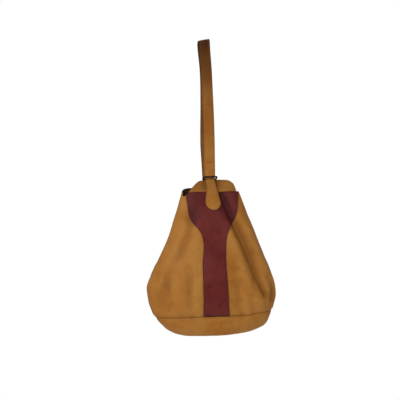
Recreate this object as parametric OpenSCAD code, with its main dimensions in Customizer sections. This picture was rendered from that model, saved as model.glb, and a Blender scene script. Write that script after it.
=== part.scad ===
// Bucket bag of soft leather that hangs by one long strap.
// The origin is the axis of the peg that the strap hangs on. X is across the bag, Z is up and
// the front of the bag faces -Y.

/* [Hanging] */
// Radius of the peg that the strap folds over
peg_r = 8; // [5:0.5:12]
// Height of the mouth's front edge, below the peg axis
mouth_drop = 340; // [330:1:350]
// Height of the seam between wall and base, below the peg axis
base_seam_drop = 622; // [616:1:630]
// Height of the underside, below the peg axis
bottom_drop = 661; // [658:1:670]

/* [Body] */
// Half width of the mouth
mouth_half_w = 67; // [62:1:70]
// Half width of the hips, where the bag is widest
hip_half_w = 148; // [140:1:152]
// Half width at the base seam
base_half_w = 133; // [126:1:137]
// Half depth of the mouth
mouth_half_d = 20; // [18:1:24]
// Half depth of the hips
hip_half_d = 60; // [50:1:70]
// Half depth at the base seam
base_half_d = 53; // [44:1:56]
// How much higher the back edge of the mouth is than the front edge
back_rise = 9; // [4:1:12]
// Half width of the flat bottom panel
bottom_half_w = 72; // [60:1:80]
// Half depth of the flat bottom panel
bottom_half_d = 27; // [20:1:32]

/* [Leather] */
// Thickness of the outer leather
hide = 1.4; // [1.2:0.1:1.5]
// Thickness of facings and reinforcements
thin_hide = 1.0; // [0.8:0.1:1.1]
// Thickness of the lining
lining_t = 0.8; // [0.6:0.1:1]
// Thickness of the base board
board_t = 2; // [1.5:0.1:2.2]
// Glue line between two layers
glue = 0.35; // [0.3:0.05:0.4]
// Gap under the centre panel where it laps over the side panels
lap_gap = 0.7; // [0.6:0.1:0.9]

/* [Centre panel] */
// Half width of the centre panel's head at the mouth
head_half_w = 61; // [56:1:61]
// Half width of the centre panel's strip
strip_half_w = 27; // [24:1:30]
// How far the centre panel laps over the side panels
lap = 8; // [5:1:10]

/* [Strap] */
// Width of the strap
strap_w = 25.8; // [22:0.2:26]
// Half width of the paddle at the strap's end
paddle_half_w = 18; // [16:1:20]
// Height of the strap's upper cross seams, below the peg axis
upper_seam_drop = 139; // [120:1:160]
// Height of the strap's lower cross seams, below the peg axis
lower_seam_drop = 273; // [260:1:280]
// Height of the paddle's tip, below the peg axis
tip_drop = 382; // [376:1:388]

/* [Flap and ring] */
// Height of the flap's top edge, below the peg axis
flap_top_drop = 315; // [313:1:317]
// Half width of the flap's top edge
flap_top_half_w = 32; // [28:1:34]
// Half width of the flap where it crosses the mouth
flap_half_w = 50; // [46:1:51]
// Diameter of the ring's wire
wire_d = 3; // [2.5:0.1:3.2]
// Clear width inside the ring
ring_inner_w = 28; // [27.5:0.5:30]
// Distance between the axes of the ring's front and rear bars
ring_depth = 15; // [14:0.5:16]
// Angle of the ring's front bar above the rear bar
ring_tilt = 22; // [18:1:30]
// Width of the leather loop that holds the ring
chape_w = 20; // [14:1:22]

/* [Hidden] */

tan = "#b0763a";
burgundy = "#5e2a28";
dark_brown = "#3a2417";
board_grey = "#8a8172";
dark_metal = "#2b2226";

squareness = 2.3;      // exponent of the body's oval outline
facing_h = 22;         // height of the facings inside the mouth
lining_in = 2.9;       // depth of the lining's outer face below the outer face of the wall
patch_drop = 350;      // middle of the two reinforcements, below the peg axis

// Outline of the wall: drop below the peg axis, half width, half depth
mid_d = mouth_half_d + 0.7 * (hip_half_d - mouth_half_d);
wall_rows = [
    [mouth_drop - back_rise, mouth_half_w - 2.5, mouth_half_d - 1],
    [mouth_drop, mouth_half_w, mouth_half_d],
    [450, mouth_half_w + 39.5, mid_d],
    [540, hip_half_w - 5, hip_half_d - 1],
    [557, hip_half_w, hip_half_d],
    [582, hip_half_w - 1, hip_half_d],
    [base_seam_drop, base_half_w, base_half_d],
];
// Outline of the centre panel: drop below the peg axis, half width
centre_rows = [
    [mouth_drop, head_half_w],
    [369, head_half_w - 3],
    [395, head_half_w - 7.5],
    [411, 45],
    [425, 35],
    [439, 28.5],
    [462, strip_half_w - 1.5],
    [505, strip_half_w],
    [base_seam_drop, strip_half_w + 2.5],
];
// Path of the strap's inner face in front: distance from the middle plane, drop
strap_rows = [[0, peg_r], [150, peg_r + 1], [290, 10.8], [306, 11.6], [318, 14.2],
              [332, 19.4], [mouth_drop, 22.2], [mouth_drop + 12, 25.5]];
// Outline of the paddle: drop, half width; the round tip follows below
paddle_rows = [[lower_seam_drop, strap_w / 2], [300, strap_w / 2 - 0.4], [313, 11.5], [335, 12.6],
               [349, 15.7], [tip_drop - paddle_half_w, paddle_half_w]];
// Path of the flap's middle from its root to its top edge: y, drop
flap_path = [[18.3, 329.2], [14, 328], [7, 330.5], [0, 336], [-6, 342], [-10, 343.5],
             [-12, 340], [-11.4, 333], [-8.9, 325.5], [-8, 319.5], [-8, flap_top_drop]];

// ---- shared shapes ----

function smooth(t) = t * t * (3 - 2 * t);
function clamp01(t) = min(1, max(0, t));
function mix(a, b, t) = a + (b - a) * t;

// Value of column c at position x in a table of rows, as a smooth curve through its rows
function slope(rows, i, c) =
    let (lo = max(i - 1, 0), hi = min(i + 1, len(rows) - 1))
    (rows[hi][c] - rows[lo][c]) / (rows[hi][0] - rows[lo][0]);
function span_at(rows, x, i = 0) =
    i >= len(rows) - 2 || x <= rows[i + 1][0] ? i : span_at(rows, x, i + 1);
function curve(rows, x, c = 1) =
    let (i = span_at(rows, x), h = rows[i + 1][0] - rows[i][0], t = clamp01((x - rows[i][0]) / h))
    mix(rows[i][c], rows[i + 1][c], smooth(t))
    + h * (slope(rows, i, c) * t * (1 - t) * (1 - t) - slope(rows, i + 1, c) * t * t * (1 - t));

function half_w(drop) = curve(wall_rows, drop, 1);
function half_d(drop) = curve(wall_rows, drop, 2);
function power(v) = sign(v) * pow(abs(v), 2 / squareness);

// Point of the wall at an angle round Z and a drop, moved outward by out
function wall_point(angle, drop, out) =
    [(half_w(drop) + out) * power(cos(angle)), (half_d(drop) + out) * power(sin(angle)), -drop];
// Angle in front at which the wall has a given x
function front_angle(x, drop) =
    270 + sign(x) * asin(min(1, pow(abs(x) / half_w(drop), squareness / 2)));
// Drop of the mouth's edge at an angle
function rim_drop(angle) = mouth_drop - back_rise * (1 + sin(angle)) / 2;
// Point of the base at an angle, with t from 0 at the base seam to 1 at the bottom panel
function bend(a, b, c, t) = (1 - t) * (1 - t) * a + 2 * t * (1 - t) * b + t * t * c;
function base_point(angle, t, in) =
    [(bend(base_half_w, 112, bottom_half_w, t) - in) * power(cos(angle)),
     (bend(base_half_d, 46, bottom_half_d, t) - in) * power(sin(angle)),
     -bend(base_seam_drop, bottom_drop - 2, bottom_drop, t) + in * smooth(t)];

function steps(a, b, n) = [for (i = [0 : n]) mix(a, b, i / n)];

// Closed solid between two grids of points; ring = true joins the last column to the first
module sheet(outer, inner, ring = false) {
    rows = len(outer);
    cols = len(outer[0]);
    last = ring ? cols : cols - 1;
    size = rows * cols;
    function at(r, c) = r * cols + c % cols;
    function quad(a, b, c, d) = [[a, b, c], [a, c, d]];
    skin = [for (r = [0 : rows - 2], c = [0 : last - 1])
        each quad(at(r, c), at(r + 1, c), at(r + 1, c + 1), at(r, c + 1))];
    inside = [for (f = skin) [f[2] + size, f[1] + size, f[0] + size]];
    ends = [for (c = [0 : last - 1], r = [0, rows - 1])
        each r == 0
            ? quad(at(r, c), at(r, c + 1), at(r, c + 1) + size, at(r, c) + size)
            : quad(at(r, c + 1), at(r, c), at(r, c) + size, at(r, c + 1) + size)];
    sides = ring ? [] : [for (r = [0 : rows - 2], c = [0, cols - 1])
        each c == 0
            ? quad(at(r + 1, c), at(r, c), at(r, c) + size, at(r + 1, c) + size)
            : quad(at(r, c), at(r + 1, c), at(r + 1, c) + size, at(r, c) + size)];
    points = [for (g = [outer, inner], row = g, p = row) p];
    polyhedron(points = points, faces = concat(skin, inside, ends, sides), convexity = 6);
}

// Two grids of wall points, out and out - t, for angles that may depend on the drop
module wall_sheet(grid, out, t, ring = false)
    sheet([for (row = grid) [for (p = row) wall_point(p[0], p[1], out)]],
          [for (row = grid) [for (p = row) wall_point(p[0], p[1], out - t)]], ring);

// Strip of constant width along a path in the YZ plane, between two faces of that path
module strip(path, from, to) {
    function dir(i) =
        let (a = path[max(i - 1, 0)], b = path[min(i + 1, len(path) - 1)], d = b - a)
        d / norm(d);
    function side(i, off) = path[i] + off * [-dir(i)[1], dir(i)[0]];
    n = len(path) - 1;
    outline = concat([for (i = [0 : n]) side(i, from)], [for (i = [n : -1 : 0]) side(i, to)]);
    rotate([90, 0, 90]) linear_extrude(strap_w, center = true) polygon(outline);
}

// ---- wall ----

wall_levels = 12;
module panel_front(sign_x) {
    edge = function(drop) front_angle(sign_x * (curve(centre_rows, drop) - lap), drop);
    corner = sign_x < 0 ? 180 : 360;
    order = sign_x < 0 ? [0 : 9] : [9 : -1 : 0];
    grid = [for (v = [0 : wall_levels])
        [for (i = order)
            let (at_seam = mix(rim_drop(corner), base_seam_drop, v / wall_levels),
                 e = edge(mix(mouth_drop, base_seam_drop, v / wall_levels)),
                 angle = mix(corner, e, i / 9),
                 drop = mix(rim_drop(angle), base_seam_drop, v / wall_levels))
            [angle, drop]]];
    color(tan) wall_sheet(grid, 0, hide);
}

module front_left_panel() panel_front(-1);
module front_right_panel() panel_front(1);

module front_centre_panel() {
    grid = [for (drop = concat(steps(mouth_drop, 395, 3), steps(403, 443, 5), steps(460, base_seam_drop - 1, 7)))
        [for (i = [0 : 12])
            [front_angle(mix(-1, 1, i / 12) * curve(centre_rows, drop), drop), drop]]];
    color(burgundy) wall_sheet(grid, lap_gap + hide, hide);
}

module back_panel() {
    grid = [for (v = [0 : wall_levels])
        [for (angle = steps(0, 180, 20))
            [angle, mix(rim_drop(angle), base_seam_drop, v / wall_levels)]]];
    color(tan) wall_sheet(grid, 0, hide);
}

// ---- base ----

module base_band(from, to) {
    grid = [for (t = steps(0, 1, 5)) [for (angle = steps(from, to, 18)) [angle, t]]];
    color(tan) sheet([for (row = grid) [for (p = row) base_point(p[0], p[1], 0)]],
                     [for (row = grid) [for (p = row) base_point(p[0], p[1], hide)]]);
}

module base_band_front() base_band(180, 360);
module base_band_back() base_band(0, 180);

module oval(in) {
    polygon([for (a = [0 : 10 : 350])
        [(bottom_half_w - in) * power(cos(a)), (bottom_half_d - in) * power(sin(a))]]);
}

module bottom_panel() {
    color(tan) translate([0, 0, -bottom_drop]) linear_extrude(hide) oval(hide + 0.3);
}

module base_board() {
    color(board_grey) translate([0, 0, -bottom_drop + hide]) linear_extrude(board_t) oval(2);
}

// ---- lining, facings and reinforcements ----

lining_angles = [for (a = [0 : 11.25 : 348.75]) a];
lining_end = base_seam_drop + 1;
module lining_wall() {
    grid = [for (v = [0 : 10])
        [for (angle = lining_angles)
            [angle, mix(rim_drop(angle) + facing_h + 0.4, base_seam_drop - 2, v / 10)]]];
    color(dark_brown) wall_sheet(grid, -lining_in, lining_t, true);
}

module lining_bottom() {
    in = lining_in + 0.9;
    depth = [for (t = steps(0, 1, 5)) t];
    middle = 0.02;
    function ring_at(t, in) = [for (angle = lining_angles) base_point(angle, t, in)];
    function centre(in) = [for (p = ring_at(1, in)) [p[0] * middle, p[1] * middle, p[2]]];
    color(dark_brown)
        sheet([for (t = depth) ring_at(t, in), centre(in)],
              [for (t = depth) ring_at(t, in + lining_t), centre(in + lining_t)], true);
}

module facing(from, to) {
    grid = [for (v = [0 : 3])
        [for (angle = steps(from, to, 16)) [angle, rim_drop(angle) + facing_h * v / 3]]];
    color(tan) wall_sheet(grid, -lining_in, thin_hide);
}

module front_facing() facing(180, 360);
module back_facing() facing(0, 180);

module reinforcement(middle_angle, out) {
    grid = [for (drop = steps(patch_drop - 8, patch_drop + 34, 5))
        [for (x = steps(-16, 16, 6))
            [middle_angle - 270 + front_angle(x, drop), drop]]];
    color(tan) wall_sheet(grid, out, thin_hide);
}

module front_reinforcement() reinforcement(270, -0.2);
module back_reinforcement() reinforcement(90, -hide - 0.2);

// ---- strap ----

// Path of the strap's inner face in front, between two drops
function strap_path(from, to, n) = [for (drop = steps(from, to, n)) [-curve(strap_rows, drop), -drop]];

module run(from, to, n, inner, outer, back = false)
    mirror([0, back ? 1 : 0, 0]) strip(strap_path(from, to, n), -inner, -outer);

// Half tube over the peg
module fold(inner, outer)
    rotate([0, 90, 0]) rotate([0, 0, 90]) rotate_extrude(angle = 180, $fn = 96)
        translate([inner, -strap_w / 2]) square([outer - inner, strap_w]);

module shoulder_strap() {
    color("#6b4222") union() {
        fold(peg_r + hide, peg_r + 2 * hide);
        for (back = [false, true]) run(0, upper_seam_drop, 6, hide, 2 * hide, back);
    }
}

module strap_front_drop() {
    color(tan) run(upper_seam_drop, lower_seam_drop, 6, hide, 2 * hide);
}

module strap_back_drop() {
    color(tan) run(upper_seam_drop, lower_seam_drop, 6, hide, 2 * hide, true);
}

backing_end = 302;
module strap_backing() {
    color(dark_brown) union() {
        fold(peg_r, peg_r + hide);
        for (back = [false, true]) run(0, backing_end, 18, 0, hide, back);
    }
}

// Distance of a tab's inner face from the middle plane
function tab_y(x, drop) =
    let (on_bag = (half_d(max(drop, mouth_drop)) + lap_gap + hide + glue)
             * pow(1 - pow(abs(x) / (half_w(max(drop, mouth_drop)) + lap_gap + hide), squareness), 1 / squareness),
         free = curve(strap_rows, drop) + hide + 0.25,
         t = smooth(clamp01((drop - (mouth_drop - 14)) / 26)))
    mix(free, on_bag, t);

// A point of a tab: u from -1 to 1 across, t from 0 at the cross seam to 1 at the tip
function tab_half(drop) =
    drop <= tip_drop - paddle_half_w ? curve(paddle_rows, drop)
    : sqrt(max(0.5, pow(paddle_half_w, 2) - pow(drop - tip_drop + paddle_half_w, 2)));

module tab(out) {
    drops = concat(steps(lower_seam_drop, 312, 4), steps(320, tip_drop - paddle_half_w, 6),
                   [for (a = [18, 36, 54, 70, 84]) tip_drop - paddle_half_w * (1 - sin(a))]);
    function row(drop, off) = [for (u = steps(-1, 1, 6))
        let (x = u * tab_half(drop)) [x, -(tab_y(x, drop) + off), -drop]];
    color(tan) sheet([for (drop = drops) row(drop, out + hide)], [for (drop = drops) row(drop, out)]);
}

module front_tab() tab(0);
module back_tab() mirror([0, 1, 0]) tab(0);

// ---- flap and ring ----

function flap_w(i) =
    let (last = len(flap_path) - 1, standing = clamp01((i - 5) / (last - 5)))
    i == 0 ? flap_half_w - 2 : mix(flap_half_w, flap_top_half_w, pow(standing, 1.5));
// How strongly the flap's cross section bends back, in 1/mm
function flap_arch(i) = 0.002 * pow(sin(180 * i / (len(flap_path) - 1)), 2);

module flap_sheet(from, to, first = 0) {
    function dir(i) =
        let (a = flap_path[max(i - 1, 0)], b = flap_path[min(i + 1, len(flap_path) - 1)],
             d = [b[0] - a[0], a[1] - b[1]])
        d / norm(d);
    function row(i, off) = [for (u = steps(-1, 1, 12))
        let (x = u * flap_w(i))
        [x, flap_path[i][0] - off * dir(i)[1] + flap_arch(i) * x * x, -flap_path[i][1] + off * dir(i)[0]]];
    color(tan) sheet([for (i = [first : len(flap_path) - 1]) row(i, to)],
                     [for (i = [first : len(flap_path) - 1]) row(i, from)]);
}

module flap_outer() flap_sheet(-0.6, 0.6);
module flap_facing() flap_sheet(0.8, 1.6, 1);

ring_pin = [0, -8.5, -311];  // axis of the ring's rear bar

module ring_chape() {
    leg = 9;
    wrap = 1.2;
    bore_r = wire_d / 2 + 0.25;
    slot = 1.3;  // half the space between the legs, which clasp the flap
    color(tan) translate([0, ring_pin[1], ring_pin[2]])
        rotate([90, 0, 90]) linear_extrude(chape_w, center = true) difference() {
            union() {
                circle(r = bore_r + wrap, $fn = 64);
                translate([-slot - wrap, -leg]) square([2 * (slot + wrap), leg]);
            }
            circle(r = bore_r, $fn = 64);
            translate([-slot, -leg - 1]) square([2 * slot, leg + 1]);
        }
}

module closure_ring() {
    half = ring_inner_w / 2 + wire_d / 2;
    corner = 4;
    color(dark_metal) translate(ring_pin) rotate([-ring_tilt, 0, 0]) translate([0, -ring_depth / 2, 0]) {
        for (side = [-1, 1]) {
            translate([0, side * ring_depth / 2, 0]) rotate([0, 90, 0])
                cylinder(h = 2 * (half - corner), d = wire_d, center = true, $fn = 48);
            translate([side * half, 0, 0]) rotate([90, 0, 0])
                cylinder(h = ring_depth - 2 * corner, d = wire_d, center = true, $fn = 48);
        }
        for (a = [0 : 3])
            translate([(a == 0 || a == 3 ? 1 : -1) * (half - corner),
                       (a < 2 ? 1 : -1) * (ring_depth / 2 - corner), 0])
                rotate([0, 0, a * 90]) rotate_extrude(angle = 90, $fn = 48)
                    translate([corner, 0]) circle(d = wire_d, $fn = 48);
    }
}

front_left_panel();
front_right_panel();
front_centre_panel();
back_panel();
base_band_front();
base_band_back();
bottom_panel();
base_board();
lining_wall();
lining_bottom();
front_facing();
back_facing();
front_reinforcement();
back_reinforcement();
shoulder_strap();
strap_front_drop();
strap_back_drop();
strap_backing();
front_tab();
back_tab();
flap_outer();
flap_facing();
ring_chape();
closure_ring();
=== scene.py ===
"""Bucket bag of soft leather that hangs by one long strap.

Every leather piece is a closed shell on one shared surface of the bag, so that the pieces lie on
each other and fold together. Lengths in the geometry code are millimetres, in the row frame: X
across the bag, Z up, the front of the bag faces -Y, and the origin is the axis of the hanging
peg. A "drop" is a depth below that axis.
"""
import math
import random

import bpy
import numpy as np
from mathutils import Matrix, Vector


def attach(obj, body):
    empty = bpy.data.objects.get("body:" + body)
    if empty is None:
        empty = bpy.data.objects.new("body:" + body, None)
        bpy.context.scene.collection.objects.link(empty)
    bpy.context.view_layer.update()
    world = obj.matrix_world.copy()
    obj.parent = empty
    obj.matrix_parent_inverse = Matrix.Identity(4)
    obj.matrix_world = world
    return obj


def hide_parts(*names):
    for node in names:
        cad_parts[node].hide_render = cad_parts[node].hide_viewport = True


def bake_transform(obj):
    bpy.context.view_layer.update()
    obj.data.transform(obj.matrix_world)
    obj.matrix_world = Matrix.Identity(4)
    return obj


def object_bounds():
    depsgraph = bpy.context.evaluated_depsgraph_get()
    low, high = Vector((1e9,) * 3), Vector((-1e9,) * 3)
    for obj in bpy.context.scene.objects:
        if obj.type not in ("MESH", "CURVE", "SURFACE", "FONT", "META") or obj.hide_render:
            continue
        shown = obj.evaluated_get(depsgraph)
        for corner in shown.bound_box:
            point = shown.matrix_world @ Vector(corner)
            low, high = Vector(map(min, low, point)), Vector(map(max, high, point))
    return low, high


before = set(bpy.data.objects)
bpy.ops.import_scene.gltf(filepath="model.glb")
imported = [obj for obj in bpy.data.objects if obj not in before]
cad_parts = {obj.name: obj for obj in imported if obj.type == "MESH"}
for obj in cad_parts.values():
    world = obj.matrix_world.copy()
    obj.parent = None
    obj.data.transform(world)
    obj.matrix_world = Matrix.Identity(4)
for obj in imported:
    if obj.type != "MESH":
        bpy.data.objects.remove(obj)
cad_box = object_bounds()

MM = 0.001
FRONT, BACK = -1, 1

# ---------------- sizes, in mm

HIDE = 1.4              # outer leather
SQUARENESS = 2.3        # exponent of the body's oval outline
MOUTH, SEAM, BOTTOM = 340.0, 622.0, 661.0
BASE_RUN = 70.0         # length of the base's side, from its seam to the bottom panel
BOTTOM_W, BOTTOM_D = 72.0, 27.0
SAG, SAG_HALF = 6.0, 105.0      # how far the underside sags in its middle, and how far to each side
STRAP_W = 25.8
PEG_R = 8.0
TIP, PADDLE = 382.0, 18.0   # drop of the strap ends' tips, radius of their round part


def table(*rows):
    return np.array(rows, float)


# drop, half width, half depth of the wall
WALL = table(
    (331, 64.5, 19), (340, 67, 20), (450, 106.5, 48), (540, 143, 59), (557, 148, 60), (582, 147, 60),
    (622, 133, 53))
# drop, half width of the burgundy panel
CENTRE = table(
    (340, 61), (369, 58), (395, 53.5), (411, 45), (425, 35), (439, 28.5), (462, 25.5), (505, 27),
    (622, 29.5))
# drop, sideways place of the burgundy panel's middle on the body
CENTRE_X = table(
    (340, 2.6), (362, 0.5), (395, -2.5), (430, -2.8), (462, -3.3), (490, -5.0), (510, -4.9),
    (530, -3.8), (560, -2.6), (580, -2.5), (600, -3.4), (622, -4.0))
# drop, distance of the strap's inner face from the middle plane
STRAP = table(
    (0, 8), (150, 9), (290, 10.8), (306, 11.6), (318, 14.2), (332, 19.4), (340, 22.2), (352, 25.5))
# drop, half width of the strap's paddle end
PADDLE_W = table((273, 12.9), (300, 12.5), (313, 11.3), (335, 12.5), (349, 15.7), (364, 18))
# drop, sideways shift of the limp body against its strap
SHIFT = table(
    (300, 0), (345, 3.0), (450, 2.5), (560, -2.4), (590, -1.8), (622, 0.4), (650, 1.6), (671, 1.6))
# angle round the mouth in degrees, drop of its edge
RIM = table(
    (0, 343.5), (20, 342), (35, 337), (45, 333), (70, 330), (90, 329.5), (129, 328.8),
    (143, 329.5), (156, 331.5), (168, 334.5), (180, 338.5), (190, 342), (200, 346), (207, 347.5),
    (213, 345.5), (220, 341.5), (228, 339), (240, 338.8), (255, 339.5), (270, 340),
    (300, 340.2), (325, 340.4), (340, 341.5), (350, 343.2), (360, 343.5))
# sideways place, how much higher than the seam's drop it lies in front
SEAM_RISE = table((-140, 2.2), (0, 1.8), (50, -0.4), (90, 1.5), (128, 5.2))
# s (see outline), how much further the limp body reaches out on its left and on its right
FULL_LEFT = table(
    (440, 0), (480, 2.0), (515, 3.8), (545, 2.6), (572, -1.5), (592, 0.5), (611, 2.4), (636, 0.8),
    (660, 2.8), (692, 2.0))
FULL_RIGHT = table(
    (550, 0), (568, 1.8), (588, 3.8), (615, 3.8), (636, 5.0), (650, 8.5), (668, 11), (692, 6))
# drop, how much painted shade darkens the strap there, darkest at its top by the peg
STRAP_SHADE = table((0, 0.97), (38, 0.82), (75, 0.72), (116, 0.42), (208, 0.22), (300, 0.05), (340, 0))
# drop, sideways sway of the strap's front and back run
SWAY_FRONT = table((0, 1.5), (40, 1.9), (90, 1.9), (135, 2.3), (228, 2.8), (290, 0.9), (330, 0))
SWAY_BACK = table((0, 1.5), (40, 3.2), (90, 3.4), (135, 2.0), (228, -1.4), (290, 0.6), (330, 0))


def smooth(t):
    t = np.clip(t, 0, 1)
    return t * t * (3 - 2 * t)


def curve(rows, x, col=1):
    """Column col of a table of rows at x: a smooth curve through the rows."""
    x = np.asarray(x, float)
    xs, ys = rows[:, 0], rows[:, col]
    slopes = np.gradient(ys, xs)
    slopes[1:-1] = (ys[2:] - ys[:-2]) / (xs[2:] - xs[:-2])
    i = np.clip(np.searchsorted(xs, x, side="right") - 1, 0, len(xs) - 2)
    h = xs[i + 1] - xs[i]
    t = np.clip((x - xs[i]) / h, 0, 1)
    s = t * t * (3 - 2 * t)
    return ys[i] * (1 - s) + ys[i + 1] * s + h * (
        slopes[i] * t * (1 - t) ** 2 - slopes[i + 1] * t * t * (1 - t))


def bump(t):
    return np.exp(-t * t)


def window(x, start, end, fade):
    return smooth((x - start) / fade) * smooth((end - x) / fade)


class Waves:
    """Smooth seeded noise in space: a sum of plane waves, about -1 to 1."""

    def __init__(self, seed, size, stretch=(1, 1, 1), count=14):
        r = random.Random(seed)
        self.k, self.phase = [], []
        for _ in range(count):
            d = Vector((r.gauss(0, 1), r.gauss(0, 1), r.gauss(0, 1))).normalized()
            scale = 2 * math.pi / (size * r.uniform(0.6, 1.7))
            self.k.append([d[i] * scale / stretch[i] for i in range(3)])
            self.phase.append(r.uniform(0, 2 * math.pi))
        self.k, self.phase = np.array(self.k), np.array(self.phase)

    def __call__(self, p):
        return np.sin(p @ self.k.T + self.phase).sum(-1) / math.sqrt(len(self.phase))


# ---------------- the bag's surface

def base_curve(t):
    """Half width, half depth and drop of the base's side, t from 0 at its seam to 1."""
    def bend(a, b, c):
        return (1 - t) ** 2 * a + 2 * t * (1 - t) * b + t * t * c
    return bend(133, 112, BOTTOM_W), bend(53, 46, BOTTOM_D), bend(SEAM, BOTTOM - 2, BOTTOM)


def outline(s):
    """Half width, half depth and drop at s, which is the drop on the wall and runs on under the base."""
    wall_s = np.clip(s, WALL[0, 0], SEAM)
    under = s > SEAM
    a2, b2, d2 = base_curve(np.clip((s - SEAM) / BASE_RUN, 0, 1))
    above = np.minimum(s - WALL[0, 0], 0)
    return (np.where(under, a2, curve(WALL, wall_s, 1)), np.where(under, b2, curve(WALL, wall_s, 2)),
            np.where(under, d2, wall_s + above))


def plain_wall(phi, s):
    a, b, drop = outline(s)
    c, q = np.cos(phi), np.sin(phi)
    rho = (np.abs(c) ** SQUARENESS + np.abs(q) ** SQUARENESS) ** (-1 / SQUARENESS)
    return np.stack([a * rho * c, b * rho * q, -drop], -1)


def phi_at(x, s, side=FRONT):
    """Angle round Z at which the wall has a given x, in front or behind."""
    a = outline(s)[0]
    u = np.clip(np.abs(x) / a, 0, 1)
    v = (1 - u ** SQUARENESS) ** (1 / SQUARENESS)
    lean = np.arctan2(u, v) * np.sign(x)
    return 1.5 * math.pi + lean if side == FRONT else 0.5 * math.pi - lean


def rim_drop(phi):
    return curve(RIM, np.degrees(phi) % 360.0)


class Fold:
    """A ridge (height above 0) or a valley that runs down the wall along a line of (x, drop)."""

    def __init__(self, side, line, height, width, fade=25, sharp=1.0):
        self.side, self.line, self.fade = side, np.array([(d, x) for x, d in line], float), fade
        self.height, self.width, self.sharp = height, width, sharp

    def __call__(self, p, s):
        x = curve(self.line, s)
        centre = plain_wall(phi_at(x, s, self.side), s)
        d = np.hypot(p[..., 0] - centre[..., 0], p[..., 1] - centre[..., 1]) / self.width
        ends = window(s, self.line[0, 0] - self.fade, self.line[-1, 0] + self.fade, self.fade)
        return self.height * ends * np.exp(-d ** (2 * self.sharp))


FOLDS = [Fold(*row) for row in (
    # in front, right: the deep diagonal crease and the soft folds beside it
    (FRONT, [(22, 350), (44, 412), (66, 458), (94, 530), (112, 578)], -8.5, 10.5, 22, 0.75),
    (FRONT, [(30, 425), (46, 466), (68, 530), (92, 590)], 5.0, 10, 30),
    (FRONT, [(38, 350), (56, 392)], 3.0, 10, 20),
    (FRONT, [(66, 405), (86, 440), (108, 490), (128, 540)], 2.6, 10, 30),
    (FRONT, [(128, 540), (136, 565), (130, 592)], -5.5, 10, 16),
    (FRONT, [(98, 556), (104, 590), (100, 612)], 2.6, 7, 18),
    (FRONT, [(82, 575), (84, 612)], -2.0, 6, 20),
    (FRONT, [(48, 560), (56, 618)], -2.0, 8, 30),
    (FRONT, [(66, 580), (70, 615)], 2.2, 8, 22),
    # in front, left: broad soft draping
    (FRONT, [(-50, 395), (-66, 440), (-92, 495), (-110, 545)], -4.0, 15, 35),
    (FRONT, [(-84, 515), (-86, 560), (-78, 600)], 4.2, 17, 35),
    (FRONT, [(-58, 530), (-62, 575), (-58, 622)], -2.8, 8, 30),
    (FRONT, [(-40, 560), (-44, 620)], 2.6, 10, 30),
    (FRONT, [(-70, 420), (-98, 480), (-124, 545)], 2.6, 12, 30),
    (FRONT, [(-44, 440), (-50, 500)], 2.0, 14, 40),
    # behind
    (BACK, [(-40, 412), (-54, 445), (-78, 510), (-96, 585)], -5.0, 10, 26, 0.8),
    (BACK, [(-2, 400), (-30, 470), (-52, 540), (-62, 600)], 3.4, 15, 35),
    (BACK, [(40, 390), (58, 440), (86, 520), (104, 580)], -4.4, 11, 26, 0.85),
    (BACK, [(14, 420), (36, 500), (52, 590)], 3.0, 15, 35),
    (BACK, [(0, 520), (-8, 615)], -2.2, 9, 30),
    (BACK, [(84, 470), (112, 550), (112, 600)], 3.0, 12, 30),
    (BACK, [(-96, 500), (-118, 560), (-110, 608)], 3.0, 12, 28),
    (BACK, [(-128, 545), (-130, 590)], -4.0, 10, 18),
    (BACK, [(126, 550), (126, 600)], -3.0, 9, 18),
    (BACK, [(30, 580), (34, 620)], 2.2, 9, 24),
)]
BROAD = Waves(3, 120, (1, 1, 1.9))
MEDIUM = Waves(5, 46, (1, 1, 2.4))
FINE = Waves(9, 17, (1, 1, 1.6), 18)
GATHER = Waves(11, 26, (1, 1, 30))


def relief(phi, s):
    """How far the limp leather stands proud of the plain wall, in mm."""
    p = plain_wall(phi, s)
    loose = smooth((s - 345) / 70)
    rise = sum(f(p, s) for f in FOLDS)
    rise = rise + loose * (1.5 * BROAD(p) + 0.75 * MEDIUM(p)) + (0.1 + 0.12 * loose) * FINE(p)
    near_seam = bump((s - SEAM) / 26)
    rise = rise + 0.8 * near_seam * GATHER(p)
    # the seam pulls in, and the leather puffs on both sides of it
    rise = rise - 1.7 * bump((s - SEAM) / 3.2)
    rise = rise + 0.6 * bump((s - SEAM + 11) / 8) + 0.5 * bump((s - SEAM - 11) / 8)
    # the base is stiffer than the wall and folds less
    calm = smooth((SEAM + 50 - s) / 60)
    # side seams: a shallow furrow
    furrow = bump(p[..., 1] / 2.2) * window(s, 335, SEAM + 8, 8)
    return rise * (0.35 + 0.65 * calm) - 1.0 * furrow


def sag_at(x):
    """How far the underside sags at x."""
    return SAG * np.clip(1 - (x / SAG_HALF) ** 2, 0, 1)


def wall(phi, s, off=0.0):
    """Point on the limp bag at angle phi and s, off mm outside its outer face."""
    phi, s = np.broadcast_arrays(np.asarray(phi, float), np.asarray(s, float))
    e = 0.004
    p = plain_wall(phi, s)
    across = plain_wall(phi + e, s) - plain_wall(phi - e, s)
    down = plain_wall(phi, s + 0.5) - plain_wall(phi, s - 0.5)
    n = np.cross(down, across)
    n /= np.linalg.norm(n, axis=-1, keepdims=True) + 1e-9
    p = p + n * (relief(phi, s) + off)[..., None]
    x = p[..., 0]
    # from 45 mm off the middle on, growing over 75 mm
    reach_right = smooth((x - 45) / 75) * curve(FULL_RIGHT, s)
    reach_left = smooth((-x - 45) / 75) * curve(FULL_LEFT, s)
    p[..., 0] = x + reach_right - reach_left
    p[..., 2] += curve(SEAM_RISE, p[..., 0]) * bump((s - SEAM) / 24) * smooth((20 - p[..., 1]) / 40)
    # sag of the underside between its edges, and the body's small sideways shift
    under = smooth((s - SEAM - 8) / 60)
    p[..., 2] -= under * sag_at(p[..., 0])
    p[..., 0] += curve(SHIFT, -p[..., 2])
    return p


# ---------------- mesh building

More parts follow.
